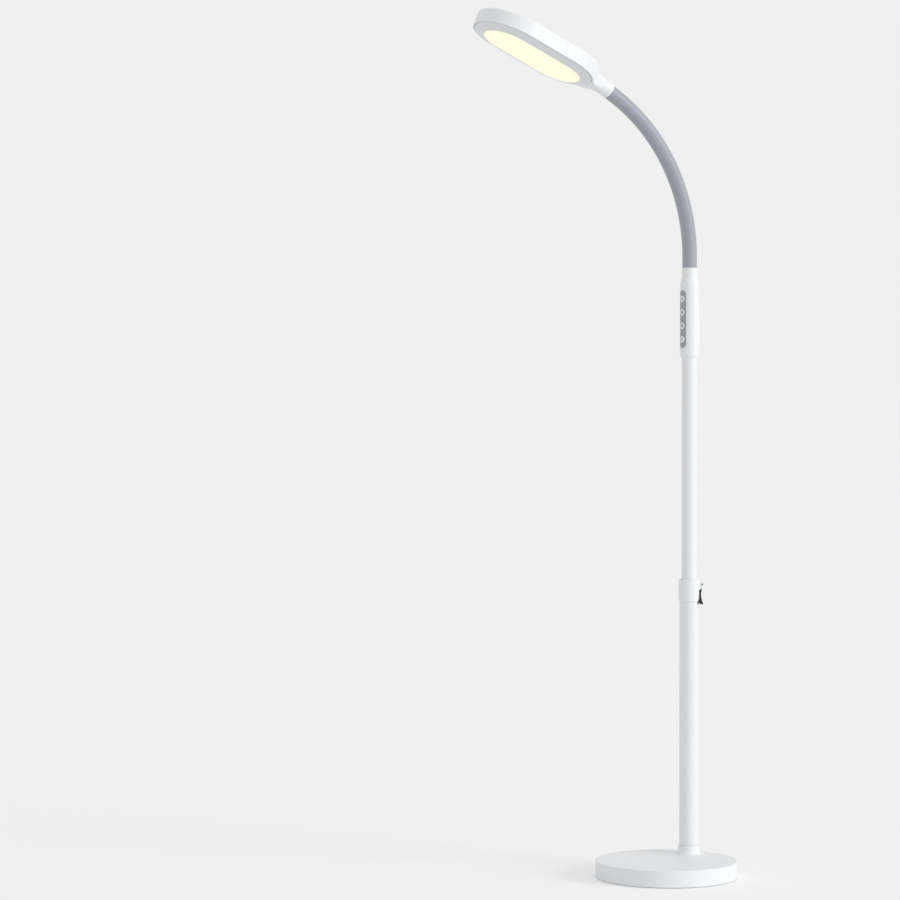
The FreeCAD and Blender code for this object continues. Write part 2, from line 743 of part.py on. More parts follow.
def post_heights():
    reach = panel_length / 2 - panel_post_inset
    return [panel_centre - reach, panel_centre + reach]


def make_control_panel():
    skin = ring(panel_outer, panel_inner, panel_centre - panel_length, panel_centre + panel_length)
    panel = skin.common(pill(panel_width, panel_length, 2 * handle_radius))
    for z in post_heights():
        post = Part.makeCylinder(panel_post_radius, panel_inner + panel_recess - board_front,
                                 V(board_front, 0, z), V(1, 0, 0))
        panel = panel.fuse(post)
        panel = panel.cut(Part.makeCylinder(panel_screw_radius, panel_screw_length - board_thickness,
                                            V(board_front, 0, z), V(1, 0, 0)))
    for z in button_heights():
        panel = panel.cut(Part.makeCylinder(button_radius + button_gap, 2 * handle_radius,
                                            V(0, 0, z), V(1, 0, 0)))
    return on_handle(panel.removeSplitter())


def make_button(height):
    """One push button: a cap that follows the handle's curve, a flange behind it and a stem."""
    crown = rod(handle_radius + button_proud, height - 2 * button_radius, height + 2 * button_radius)
    cap = Part.makeCylinder(button_radius, 2 * handle_radius, V(0, 0, height), V(1, 0, 0)).common(crown)
    flange_front = panel_inner * math.cos(math.asin(button_flange_radius / panel_inner)) - SEAT_GAP
    flange_back = flange_front - button_flange_thickness
    cap = cap.cut(block(2 * flange_back, 4 * button_radius, 4 * button_radius, 0, 0,
                        height - 2 * button_radius))
    flange = Part.makeCylinder(button_flange_radius, button_flange_thickness,
                               V(flange_back, 0, height), V(1, 0, 0))
    stem_end = board_front + switch_height + plunger_height + button_travel + SEAT_GAP
    stem = Part.makeCylinder(button_stem_radius, flange_back - stem_end, V(stem_end, 0, height),
                             V(1, 0, 0))
    return on_handle(cap.fuse(flange).fuse(stem).removeSplitter())


def make_switch_board():
    board = block(board_thickness, board_width, board_length, board_back + board_thickness / 2, 0,
                  panel_centre - board_length / 2)
    for z in post_heights():
        board = board.cut(Part.makeCylinder(panel_screw_radius + LOOSE_FIT, board_thickness,
                                            V(board_back, 0, z), V(1, 0, 0)))
    return on_handle(board)


def make_switches():
    pieces = []
    for z in button_heights():
        case = block(switch_height, switch_side, switch_side, board_front + switch_height / 2, 0,
                     z - switch_side / 2)
        plunger = Part.makeCylinder(plunger_radius, plunger_height,
                                    V(board_front + switch_height, 0, z), V(1, 0, 0))
        pieces.append(case.fuse(plunger))
    return on_handle(Part.makeCompound(pieces))


def make_panel_screws():
    screws = []
    for z in post_heights():
        head = Part.makeCylinder(panel_screw_head_radius, panel_screw_head_height,
                                 V(board_back - panel_screw_head_height, 0, z), V(1, 0, 0))
        shank = Part.makeCylinder(panel_screw_radius, panel_screw_length, V(board_back, 0, z),
                                  V(1, 0, 0))
        screws.append(head.fuse(shank))
    return on_handle(Part.makeCompound(screws))


# ---------------------------------------------------------------- gooseneck
def neck_fitting(flange_side):
    """The threaded end of the gooseneck: a flange on a hollow stub that points down the Z axis."""
    stub = ring(neck_fitting_radius, neck_fitting_bore, -neck_fitting_length, 0)
    flange = ring(fitting_flange_radius, neck_fitting_bore, -neck_fitting_flange, 0)
    fitting = stub.fuse(flange).removeSplitter()
    if flange_side < 0:
        fitting.rotate(ORIGIN, V(1, 0, 0), HALF_TURN)
    return fitting


def make_neck_fitting():
    fitting = neck_fitting(1)
    fitting.translate(V(0, 0, neck_seat))
    return on_arm(fitting)


def neck_nut():
    nut = hexagon(2 * (neck_fitting_radius + neck_nut_wall), -neck_nut_height, 0)
    return nut.cut(rod(neck_fitting_radius, -neck_nut_height, 0))


def make_neck_nut():
    nut = neck_nut()
    nut.translate(V(0, 0, neck_seat - neck_shoulder))
    return on_arm(nut)


def link_axis(number):
    """Where a link starts, its length and its lean: from hinge to hinge, straight."""
    start = hinge_point(number)
    end = hinge_point(number + 1)
    run = end - start
    return start, run.Length, math.degrees(math.atan2(run.x, run.z))


def zone(radius, centre, bore, outer):
    """The arc of a ball's section between a bore and an outer radius, upwards of its centre."""
    middle = math.radians(math.degrees(math.asin(bore / radius) + math.asin(outer / radius)) / 2)
    places = [V(bore, 0, centre + math.sqrt(radius ** 2 - bore ** 2)),
              V(radius * math.sin(middle), 0, centre + radius * math.cos(middle)),
              V(outer, 0, centre + math.sqrt(radius ** 2 - outer ** 2))]
    return places[0], places[2], Part.Arc(*places).toShape()


def make_neck_link(number):
    """One link of the gooseneck, turned about its own straight axis. Its upper end is a ball and its
    lower end the cup of the ball below, both centred on the hinge between two links, so that the
    links turn with an even gap."""
    first = number == 0
    last = number == neck_links
    if first:
        place = V(0, 0, neck_seat)
        length = hinge_point(1).z - neck_seat
        lean = 0.0
    elif last:
        place = hinge_point(number)
        length = half_link + neck_straight_high + head_insert
        lean = neck_end_lean
    else:
        place, length, lean = link_axis(number)
    low_in, low_out, cup = zone(neck_ball_radius + SEAT_GAP, 0, neck_bore, neck_radius)
    high_in, high_out, ball = zone(neck_ball_radius, length, neck_bore, neck_radius)
    edges = []
    if first:
        low_in, low_out = V(neck_bore, 0, 0), V(neck_radius, 0, neck_socket_depth)
        edges += lines([low_in, V(fitting_flange_radius, 0, 0),
                        V(fitting_flange_radius, 0, neck_socket_depth), low_out])
    else:
        edges.append(cup)
    if last:
        high_in, high_out = V(neck_bore, 0, length), V(neck_radius, 0, length - head_insert)
        edges += lines([high_in, V(fitting_flange_radius, 0, length),
                        V(fitting_flange_radius, 0, length - head_insert), high_out])
    else:
        edges.append(ball)
    link = turned_wire(edges + lines([low_in, high_in]) + lines([low_out, high_out]))
    link.rotate(ORIGIN, V(0, 1, 0), lean)
    link.translate(place)
    return on_arm(link)


# ---------------------------------------------------------------- head
def head_top(x):
    """The back's height above the mouth's centre line, x millimetres out along the head."""
    share = (x - head_near_end) / (head_far_end - head_near_end)
    return rim_level + head_root_thickness + (head_tip_thickness - head_root_thickness) * share


def half_width(x):
    """The head's half width, x millimetres out: neck, hollow corner, round end."""
    reach = head_outer + head_fillet_radius
    side = head_neck_radius + head_fillet_radius
    meet_x = head_near_centre - (head_near_centre - fillet_start) * head_outer / reach
    if x <= fillet_start:
        return head_neck_radius
    if x <= meet_x:
        return side - math.sqrt(head_fillet_radius ** 2 - (x - fillet_start) ** 2)
    if x <= head_near_centre:
        return math.sqrt(head_outer ** 2 - (head_near_centre - x) ** 2)
    return head_outer


def smooth(share):
    """0 to 1 with flat ends."""
    share = min(max(share, 0.0), 1.0)
    return share * share * (3 - 2 * share)


def section(x, half, low, high, low_radius, high_radius):
    """A closed section across the head at x: straight sides and four round corners."""
    q = math.sqrt(0.5)
    corners = [(half, high, high_radius, 1, 1), (-half, high, high_radius, -1, 1),
               (-half, low, low_radius, -1, -1), (half, low, low_radius, 1, -1)]
    edges = []
    ends = []
    for y, z, r, sy, sz in corners:
        centre = V(x, y - sy * r, z - sz * r)
        side = centre + V(0, sy * r, 0)
        flat = centre + V(0, 0, sz * r)
        bulge = centre + V(0, sy * r * q, sz * r * q)
        one, two = (side, flat) if sy * sz > 0 else (flat, side)
        if ends:
            edges.append(Part.LineSegment(ends[-1], one).toShape())
        edges.append(Part.Arc(one, bulge, two).toShape())
        ends += [one, two]
    edges.append(Part.LineSegment(ends[-1], ends[0]).toShape())
    return Part.Wire(edges)


def neck_section(x):
    """The section at x of the neck that grows into the head's plate."""
    past_neck = x - fillet_start
    axis = x * math.tan(math.radians(mouth_lean))
    neck_high = axis + head_neck_radius
    neck_low = axis - head_neck_radius
    high = neck_high + (head_top(x) - neck_high) * smooth(past_neck / head_shoulder)
    to_rim = smooth(past_neck / (head_near_end - fillet_start))
    low = min(neck_low, rim_level)
    to_plate = smooth(past_neck / (head_near_centre - fillet_start))
    high_radius = neck_corner + (head_edge_radius - neck_corner) * to_plate
    low_radius = neck_corner + (head_rim_radius - neck_corner) * to_rim
    return section(x, half_width(x) - loft_draw, low + loft_draw, high - loft_draw, low_radius,
                   high_radius)


def mouth_section():
    """The neck's round mouth, square to the gooseneck."""
    mouth = section(0, head_neck_radius, -head_neck_radius, head_neck_radius, neck_corner,
                    neck_corner)
    mouth.rotate(ORIGIN, V(0, 1, 0), -mouth_lean)
    return mouth


def above_back(near, far, drop):
    """All that lies above the back's plane, lowered by drop, between two places along the head."""
    sky = rim_level + 2 * head_root_thickness
    wedge = Part.Face(polygon([(near, head_top(near) - drop), (near, sky), (far, sky),
                               (far, head_top(far) - drop)]))
    wedge = wedge.extrude(V(0, 4 * head_outer, 0))
    wedge.translate(V(0, -2 * head_outer, 0))
    return wedge


def head_plate(radius, bottom, drop, edge_radius):
    """The head's plate: a stadium in plan, its back a sloping plane, with a rounded upper edge. With
    a smaller radius and the back's plane dropped it is the plate's hollow."""
    plate = window_disc(radius, bottom, rim_level + head_root_thickness + OVER)
    plate = plate.cut(above_back(head_near_end - OVER, head_far_end + OVER, drop))
    back = max(plate.Faces, key=lambda face: face.CenterOfMass.z)
    return plate.makeFillet(edge_radius, back.Edges)


def head_neck():
    """The neck, from its round mouth into the plate."""
    reach = head_near_centre - fillet_start
    stations = [fillet_start * share for share in neck_stations]
    stations += [fillet_start + reach * share for share in loft_shares]
    return Part.makeLoft([mouth_section()] + [neck_section(x) for x in stations], True, True)


def stadium(profile):
    """A closed (radius, height) profile carried round the window's outline: two straight runs and
    two half turns."""
    face = Part.Face(polygon(profile))
    run = head_far_centre - head_near_centre
    far = face.copy()
    far.translate(V(head_far_centre, 0, 0))
    far = far.revolve(V(head_far_centre, 0, 0), UP, RIGHT_ANGLE).fuse(
        far.revolve(V(head_far_centre, 0, 0), UP, -RIGHT_ANGLE))
    near = far.mirror(V(window_centre, 0, 0), V(1, 0, 0))
    side = face.copy()
    side.rotate(ORIGIN, UP, RIGHT_ANGLE)
    side.translate(V(head_near_centre, 0, 0))
    side = side.extrude(V(run, 0, 0))
    other = side.mirror(ORIGIN, V(0, 1, 0))
    return far.fuse([near, side, other]).removeSplitter()


def window_disc(radius, bottom, top):
    """A plain stadium-shaped disc parallel to the window."""
    disc = block(head_far_centre - head_near_centre, 2 * radius, top - bottom, window_centre, 0,
                 bottom)
    for x in (head_near_centre, head_far_centre):
        disc = disc.fuse(Part.makeCylinder(radius, top - bottom, V(x, 0, bottom)))
    return disc.removeSplitter()


def along_neck(shape, distance):
    """From an upright frame at the origin to a place past the mouth, in the head's frame."""
    shape.rotate(ORIGIN, V(0, 1, 0), RIGHT_ANGLE - mouth_lean)
    lean = math.radians(mouth_lean)
    shape.translate(V(distance * math.cos(lean), 0, distance * math.sin(lean)))
    return shape


def make_head_housing():
    shell = head_plate(head_outer, rim_level, 0, head_edge_radius).fuse(head_neck())
    shell = shell.cut(head_plate(head_outer - head_wall, rim_level - OVER, head_wall,
                                 head_edge_radius - head_wall))
    # the neck's lining: a socket for the gooseneck, the fitting's flange, its hole, room for the nut
    # and, under the back's wall, the way into the plate
    hole = neck_fitting_radius + PIN_FIT
    flange_seat = head_insert + neck_fitting_flange
    nut_seat = flange_seat + neck_shoulder
    nut_end = nut_seat + neck_nut_height + head_wall
    inside = head_near_end + 2 * head_wall
    lining = turned([(0, -2 * OVER), (fitting_flange_radius, -2 * OVER),
                     (fitting_flange_radius, flange_seat), (hole, flange_seat), (hole, nut_seat),
                     (fitting_flange_radius, nut_seat),
                     (fitting_flange_radius, inside), (0, inside)])
    lining = along_neck(lining, 0).cut(above_back(nut_end, head_near_centre, head_wall))
    return on_head(largest(shell.cut(lining)))


def make_head_fitting():
    return on_head(along_neck(neck_fitting(-1), head_insert))


def make_head_nut():
    nut = neck_nut()
    nut.translate(V(0, 0, neck_nut_height))
    return on_head(along_neck(nut, head_insert + neck_fitting_flange + neck_shoulder))


def screw_places():
    """The back plate's screws, in the head's frame."""
    side = bezel_post_radius
    places = []
    for x in (head_near_centre, head_far_centre):
        places += [(x, side), (x, -side)]
    return places + [(head_near_centre - side, 0), (head_far_centre + side, 0)]


def make_head_bezel():
    edge = head_outer - head_wall - bezel_groove
    low = -window_drop
    rise = rim_level - SEAT_GAP - low
    slope = rise / (edge - window_radius)
    seat = window_radius + diffuser_step
    inner = seat + bezel_thickness
    outer = edge - bezel_thickness
    thick = bezel_thickness * slope_factor
    skirt_top = plate_level + bezel_skirt
    back = [low + thick + slope * (radius - window_radius) for radius in (outer, inner)]
    profile = [(window_radius, low), (edge, low + rise), (edge, skirt_top), (outer, skirt_top),
               (outer, back[0]), (inner, back[1]), (inner, plate_level), (seat, plate_level),
               (seat, seat_level), (window_radius, seat_level)]
    bezel = stadium(profile)
    post_foot = low + thick / 2 + slope * (bezel_post_radius - window_radius)
    for x, y in screw_places():
        bezel = bezel.fuse(rod(bezel_post_size, post_foot, plate_level, x, y))
        bezel = bezel.cut(rod(head_screw_radius, post_foot + thick / 2, plate_level, x, y))
    return on_head(bezel)


def make_diffuser():
    inner = window_radius - LOOSE_FIT
    flange = window_radius + diffuser_step - LOOSE_FIT
    back = seat_level + diffuser_flange
    return on_head(window_disc(inner, diffuser_recess - window_drop, back).fuse(
        window_disc(flange, seat_level, back)).removeSplitter())


def make_light_guide():
    low = seat_level + diffuser_flange
    return on_head(window_disc(window_radius - led_height - LOOSE_FIT, low, low + guide_thickness))


def make_reflector():
    low = seat_level + diffuser_flange + guide_thickness
    return on_head(window_disc(window_radius - led_height - LOOSE_FIT, low, plate_level))


def make_led_strips():
    """A strip of lamps along each straight side of the light guide."""
    low = seat_level + diffuser_flange
    high = plate_level
    back = window_radius + diffuser_step - LOOSE_FIT
    strips = []
    for side in (1, -1):
        strip = block(2 * window_half_straight, led_board_thickness, high - low, window_centre,
                      side * (back - led_board_thickness / 2), low)
        for k in range(led_count):
            x = window_centre + (k - (led_count - 1) / 2) * led_pitch
            strip = strip.fuse(block(led_size, led_height, led_size, x,
                                     side * (back - led_board_thickness - led_height / 2), low))
        strips.append(strip.removeSplitter())
    return on_head(Part.makeCompound(strips))


def make_back_plate():
    plate = window_disc(bezel_post_radius + bezel_post_size, plate_level,
                        plate_level + back_plate_thickness)
    for x, y in screw_places():
        plate = plate.cut(rod(head_screw_radius + LOOSE_FIT, plate_level,
                              plate_level + back_plate_thickness, x, y))
    return on_head(plate)


def make_head_screws():
    screws = []
    top = plate_level + back_plate_thickness
    for x, y in screw_places():
        head = rod(head_screw_head_radius, top, top + head_screw_head_height, x, y)
        screws.append(head.fuse(rod(head_screw_radius, top - head_screw_length, top, x, y)))
    return on_head(Part.makeCompound(screws))


# ---------------------------------------------------------------- build
def main():
    os.makedirs("parts", exist_ok=True)
    save("foot_pad", make_foot_pad())
    save("base_plate", make_base_plate())
    save("base_screws", make_base_screws())
    save("base_weight", make_base_weight())
    save("base_cover", make_base_cover())
    save("dc_jack", make_dc_jack())
    save("pole_foot", make_pole_foot())
    save("pole_bolt", make_pole_bolt())
    save("pole_nut", make_pole_nut())
    save("lower_tube", make_lower_tube())
    save("clamp_collar", make_clamp_collar())
    save("collar_bush", make_collar_bush())
    save("clamp_pad", make_clamp_pad())
    save("lever_pin", make_lever_pin())
    save("clamp_lever", make_clamp_lever())
    save("guide_bush", make_guide_bush())
    save("bush_clip", make_bush_clip())
    save("tube_end_plug", make_tube_end_plug())
    save("upper_tube", make_upper_tube())
    save("handle_plug", make_handle_plug())
    save("handle_body", make_handle_body())
    save("control_panel", make_control_panel())
    names = ["button_power", "button_brighter", "button_dimmer", "button_colour"]
    for name, height in zip(names, button_heights()):
        save(name, make_button(height))
    save("switch_board", make_switch_board())
    save("push_switches", make_switches())
    save("panel_screws", make_panel_screws())
    save("neck_fitting_lower", make_neck_fitting())
    save("neck_nut_lower", make_neck_nut())
    for number in range(neck_links + 1):
        save("gooseneck_link_%02d" % number, make_neck_link(number))
    save("head_housing", make_head_housing())
    save("neck_fitting_upper", make_head_fitting())
    save("neck_nut_upper", make_head_nut())
    save("head_bezel", make_head_bezel())
    save("diffuser", make_diffuser())
    save("light_guide", make_light_guide())
    save("reflector", make_reflector())
    save("led_strips", make_led_strips())
    save("back_plate", make_back_plate())
    save("head_screws", make_head_screws())


main()
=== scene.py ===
# %% [markdown]
# # A gooseneck reading floor lamp
#
# This lesson dresses the CAD model of a floor lamp: a weighted round base, a telescopic pole
# with a lever clamp, a handle with four switches, a flexible arm and a lit, stadium shaped head.
# The CAD solids come in as a fixed frame, in metres. We give each of them a real finish, cover
# the arm's hard links with the smooth sleeve that the eye sees, and add the printed signs.

# %% Load the frame
import math

import bpy
from mathutils import Matrix, Vector


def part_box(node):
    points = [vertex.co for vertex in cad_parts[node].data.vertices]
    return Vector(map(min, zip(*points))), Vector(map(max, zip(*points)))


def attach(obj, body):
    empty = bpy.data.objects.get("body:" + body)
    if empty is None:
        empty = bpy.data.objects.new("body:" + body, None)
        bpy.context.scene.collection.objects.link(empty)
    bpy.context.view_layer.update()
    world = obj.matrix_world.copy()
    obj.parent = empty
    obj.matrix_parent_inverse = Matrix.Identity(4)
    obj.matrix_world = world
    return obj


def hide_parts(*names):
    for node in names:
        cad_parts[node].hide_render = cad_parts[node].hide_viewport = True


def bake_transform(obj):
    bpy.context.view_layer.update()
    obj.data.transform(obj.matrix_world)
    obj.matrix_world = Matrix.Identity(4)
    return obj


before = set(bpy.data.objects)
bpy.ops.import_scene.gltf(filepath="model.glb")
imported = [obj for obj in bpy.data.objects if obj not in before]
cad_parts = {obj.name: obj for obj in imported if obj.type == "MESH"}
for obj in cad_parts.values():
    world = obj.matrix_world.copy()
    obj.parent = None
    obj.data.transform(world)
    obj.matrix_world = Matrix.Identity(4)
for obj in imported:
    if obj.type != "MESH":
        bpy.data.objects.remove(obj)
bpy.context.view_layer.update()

# %% [markdown]
# Sizes are thought of in millimetres and handed to Blender in metres, so one short function
# turns one into the other. The operators act on everything that is selected, and a fresh import
# leaves its meshes selected, so a second function clears the selection before each new step.

# %% Units and selection
MM = 0.001


def mm(*values):
    """Millimetres as metres: one number, or a vector of three."""
    return values[0] * MM if len(values) == 1 else Vector(values) * MM


def clear_selection():
    if bpy.context.object and bpy.context.object.mode != "OBJECT":
        bpy.ops.object.mode_set(mode="OBJECT")
    bpy.ops.object.select_all(action="DESELECT")


clear_selection()
print("selected:", len(bpy.context.selected_objects))

# %% [markdown]
# A colour should come out as it is written, so the picture uses the plain view transform.

# %% View transform
bpy.context.scene.view_settings.view_transform = "Standard"
print("view transform:", bpy.context.scene.view_settings.view_transform)

# %% [markdown]
# ## The camera
#
# The lamp is seen from its side, from far off, at about the height of the pole's clamp. A long
# lens keeps the pole's lines parallel. The camera is tipped down by little more than a degree,
# so that the base comes into the picture.

# %% Camera
CAMERA_PLACE = Vector((4.049, -2.579, 0.770))
CAMERA_AIM = Vector((-0.8788, 0.4772, -0.02285))
FOCAL_LENGTH = 124.3

bpy.ops.object.camera_add(location=CAMERA_PLACE,
                          rotation=CAMERA_AIM.to_track_quat("-Z", "Y").to_euler())
camera = bpy.context.object
camera.name = "camera"
camera.data.sensor_width = 36.0
camera.data.lens = FOCAL_LENGTH
camera.data.dof.use_dof = False
camera.data.clip_end = 200.0
bpy.context.scene.camera = camera
print("camera at", tuple(round(value, 3) for value in camera.location))

# %% [markdown]
# ## Colours
#
# Colours are written as the hex values that a screen shows and turned to linear light by one
# function.

# %% Colours


def linear(code, alpha=1.0):
    """An sRGB hex value as linear red, green, blue and alpha."""
    shares = [int(code[k:k + 2], 16) / 255 for k in (1, 3, 5)]
    light = [s / 12.92 if s <= 0.04045 else ((s + 0.055) / 1.055) ** 2.4 for s in shares]
    return (*light, alpha)


print("white as light:", tuple(round(value, 3) for value in linear("#f4f6f7")))

# %% [markdown]
# ## The floor and the light
#
# The lamp stands in a pale, plain studio. The floor goes on to the horizon and takes the
# lamp's soft shadow. Behind it the world shows a pale grey to the camera and in reflections,
# while the light it gives is weaker, so that white parts keep their shading. The floor is lit by
# that weaker light as well, so what the camera and mirrors see of it is lifted to the same grey.

# %% Floor
BACKDROP = "#f0f0f1"
FLOOR_COLOUR = "#f0f0f1"
FLOOR_LIFT = 0.171
FLOOR_SIZE = 400.0            # metres, so that its edge lies on the horizon
FIBRES_PER_METRE = 900.0


def add(tree, kind, inputs=None, **settings):
    """A node with its settings, values and links. A value that is a socket is linked."""
    node = tree.nodes.new(kind)
    for name, value in settings.items():
        setattr(node, name, value)
    for name, value in (inputs or {}).items():
        if isinstance(value, bpy.types.NodeSocket):
            tree.links.new(value, node.inputs[name])
        else:
            node.inputs[name].default_value = value
    return node


def seen_ray(tree):
    """1 for rays from the camera, a mirror or through glass, 0 for the rays that light things."""
    ray = add(tree, "ShaderNodeLightPath").outputs
    seen = add(tree, "ShaderNodeMath", {0: ray["Is Camera Ray"], 1: ray["Is Glossy Ray"]},
               operation="MAXIMUM")
    return add(tree, "ShaderNodeMath", {0: seen.outputs[0], 1: ray["Is Transmission Ray"]},
               operation="MAXIMUM").outputs[0]


clear_selection()
bpy.ops.mesh.primitive_plane_add(size=FLOOR_SIZE, location=(0.0, 0.0, 0.0))
floor = bpy.context.object
floor.name = "studio_floor"
paint = bpy.data.materials.new("matt_studio_paper")
paint.use_nodes = True
paint.node_tree.nodes.clear()
where = add(paint.node_tree, "ShaderNodeTexCoord")
fibre = add(paint.node_tree, "ShaderNodeTexNoise",
            {"Vector": where.outputs["Object"], "Scale": FIBRES_PER_METRE, "Detail": 2.0})
lift = add(paint.node_tree, "ShaderNodeBump",
           {"Height": fibre.outputs["Fac"], "Strength": 0.05, "Distance": mm(0.05)})
sheet = add(paint.node_tree, "ShaderNodeBsdfDiffuse",
            {"Color": linear(FLOOR_COLOUR), "Normal": lift.outputs["Normal"]})
shown = add(paint.node_tree, "ShaderNodeMath",
            {0: seen_ray(paint.node_tree), 1: FLOOR_LIFT}, operation="MULTIPLY")
backlit = add(paint.node_tree, "ShaderNodeEmission",
              {"Color": (1, 1, 1, 1), "Strength": shown.outputs[0]})
paper = add(paint.node_tree, "ShaderNodeAddShader", {0: sheet.outputs[0], 1: backlit.outputs[0]})
add(paint.node_tree, "ShaderNodeOutputMaterial", {"Surface": paper.outputs[0]})
floor.data.materials.append(paint)
print("floor:", floor.name, "size", floor.dimensions.x, "m")

# %% Lights
SKY_STRENGTH = 0.69
KEY_STRENGTH = 1.3
KEY_SPREAD = 26.0
KEY_SIDE = 66.0               # degrees from the camera's line of sight, to its right
KEY_HEIGHT = 16.0
KEY_DISTANCE = 4.0

world = bpy.data.worlds.new("studio")
bpy.context.scene.world = world
world.use_nodes = True
world.node_tree.nodes.clear()
soft = add(world.node_tree, "ShaderNodeBackground", {"Color": (1, 1, 1, 1), "Strength": SKY_STRENGTH})
plain = add(world.node_tree, "ShaderNodeBackground", {"Color": linear(BACKDROP), "Strength": 1.0})
both = add(world.node_tree, "ShaderNodeMixShader",
           {0: seen_ray(world.node_tree), 1: soft.outputs[0], 2: plain.outputs[0]})
add(world.node_tree, "ShaderNodeOutputWorld", {"Surface": both.outputs[0]})

camera_right = CAMERA_AIM.cross(Vector((0, 0, 1))).normalized()
side = math.radians(KEY_SIDE)
height = math.radians(KEY_HEIGHT)
towards_key = ((camera_right * math.sin(side) - CAMERA_AIM * math.cos(side)) * math.cos(height)
               + Vector((0, 0, 1)) * math.sin(height))
clear_selection()
bpy.ops.object.light_add(type="SUN", location=towards_key * KEY_DISTANCE,
                         rotation=(-towards_key).to_track_quat("-Z", "Y").to_euler())
key = bpy.context.object
key.name = "key_light"
key.data.energy = KEY_STRENGTH
key.data.angle = math.radians(KEY_SPREAD)
print("key light from", tuple(round(value, 2) for value in towards_key))

# %% [markdown]
# ## The finishes
#
# Every finish starts as a Principled shader with a height pattern that drives a bump, and a
# slow, faint change of colour and gloss. The pattern's size is the real one in millimetres.
# One function makes this common start; what is special to a finish is added after it.

# %% A moulded or coated surface
SLOW_PATCH = mm(38.0)         # how far apart the slow changes of colour lie


def finish(name, colour, roughness, grain, relief, shift=0.02, metallic=0.0, uneven=0.06, detail=3.0):
    """A Principled material whose fine relief has the given grain and height in millimetres.
    shift is how far its colour changes slowly over the surface, uneven how far its gloss does."""
    made = bpy.data.materials.new(name)
    made.use_nodes = True
    tree = made.node_tree
    tree.nodes.clear()
    place = add(tree, "ShaderNodeTexCoord").outputs["Object"]
    fine = add(tree, "ShaderNodeTexNoise",
               {"Vector": place, "Scale": 1.0 / mm(grain), "Detail": detail, "Roughness": 0.55})
    slow = add(tree, "ShaderNodeTexNoise", {"Vector": place, "Scale": 1.0 / SLOW_PATCH, "Detail": 2.0})
    tone = add(tree, "ShaderNodeMapRange",
               {0: slow.outputs["Fac"], 1: 0.3, 2: 0.7, 3: 1.0 - shift, 4: 1.0 + shift})
    tint = add(tree, "ShaderNodeHueSaturation",
               {"Color": linear(colour), "Value": tone.outputs[0]})
    gloss = add(tree, "ShaderNodeMapRange",
                {0: fine.outputs["Fac"], 1: 0.25, 2: 0.75, 3: roughness - uneven, 4: roughness + uneven})
    bump = add(tree, "ShaderNodeBump",
               {"Height": fine.outputs["Fac"], "Strength": 1.0, "Distance": mm(relief)})
    shader = add(tree, "ShaderNodeBsdfPrincipled",
                 {"Base Color": tint.outputs["Color"], "Roughness": gloss.outputs[0],
                  "Normal": bump.outputs["Normal"], "Metallic": metallic}, name="surface")
    add(tree, "ShaderNodeOutputMaterial", {"Surface": shader.outputs["BSDF"]})
    return made


def dress(material, *names):
    """Give CAD nodes a material."""
    for name in names:
        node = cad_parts[name]
        if not node.material_slots:
            node.data.materials.append(material)
        for place in node.material_slots:
            place.material = material
    print(material.name, "on", ", ".join(names))


# %% [markdown]
# **Powder-coated steel.** The two pole tubes are steel, blasted and baked with a white
# polyester powder. The powder melts into a skin with a faint orange peel, about a millimetre
# and a half from crest to crest, and a satin gloss.

# %% Tubes
powder_coat = finish("powder_coated_steel", "#eff1f3", 0.36, 1.6, 0.006, shift=0.008, uneven=0.05)
powder_coat.node_tree.nodes["surface"].inputs["IOR"].default_value = 1.50
dress(powder_coat, "lower_tube", "upper_tube")

# %% [markdown]
# **Moulded white ABS.** The base's cover, the foot, the clamp's collar, the handle and the
# head's shell come from moulds with a fine eroded grain. The plastic is a touch warmer and
# duller than the coat on the tubes.

# %% White mouldings
white_abs = finish("moulded_white_abs", "#f1f3f4", 0.42, 0.7, 0.008, shift=0.008)
white_abs.node_tree.nodes["surface"].inputs["IOR"].default_value = 1.53
white_abs.node_tree.nodes["surface"].inputs["Subsurface Weight"].default_value = 0.04
white_abs.node_tree.nodes["surface"].inputs["Subsurface Radius"].default_value = (0.003, 0.003, 0.003)
dress(white_abs, "base_cover", "pole_foot", "clamp_collar", "handle_body", "head_housing")

# %% [markdown]
# **Silicone sleeve.** The flexible arm wears a satin grey silicone sleeve. It is soft, slightly
# dusty looking, and lights up at a grazing angle, which a little sheen gives.

# %% Sleeve
silicone = finish("satin_silicone_sleeve", "#a6a9b3", 0.40, 0.5, 0.01, shift=0.012)
silicone.node_tree.nodes["surface"].inputs["IOR"].default_value = 1.41
silicone.node_tree.nodes["surface"].inputs["Sheen Weight"].default_value = 0.25
silicone.node_tree.nodes["surface"].inputs["Sheen Roughness"].default_value = 0.4
print(silicone.name)

# %% [markdown]
# **Grey mouldings.** The light grey bezel round the lamp's window and the darker grey switch
# panel are ABS too, with a matt grain. The keys are a touch lighter than the panel and smoother.

# %% Bezel, panel and keys
bezel_abs = finish("moulded_light_grey_abs", "#e9ebed", 0.5, 0.6, 0.01)
dress(bezel_abs, "head_bezel")
panel_abs = finish("moulded_mid_grey_abs", "#a5a7ac", 0.5, 0.5, 0.012)
dress(panel_abs, "control_panel")
key_abs = finish("moulded_grey_key_abs", "#a9abb0", 0.4, 0.4, 0.008)
dress(key_abs, "button_power", "button_brighter", "button_dimmer", "button_colour")

# %% [markdown]
# **The lit window.** The diffuser is opal acrylic, lit from behind by a light guide, so it
# glows evenly in a warm white. A faint haze of the opal filler changes the glow a little.

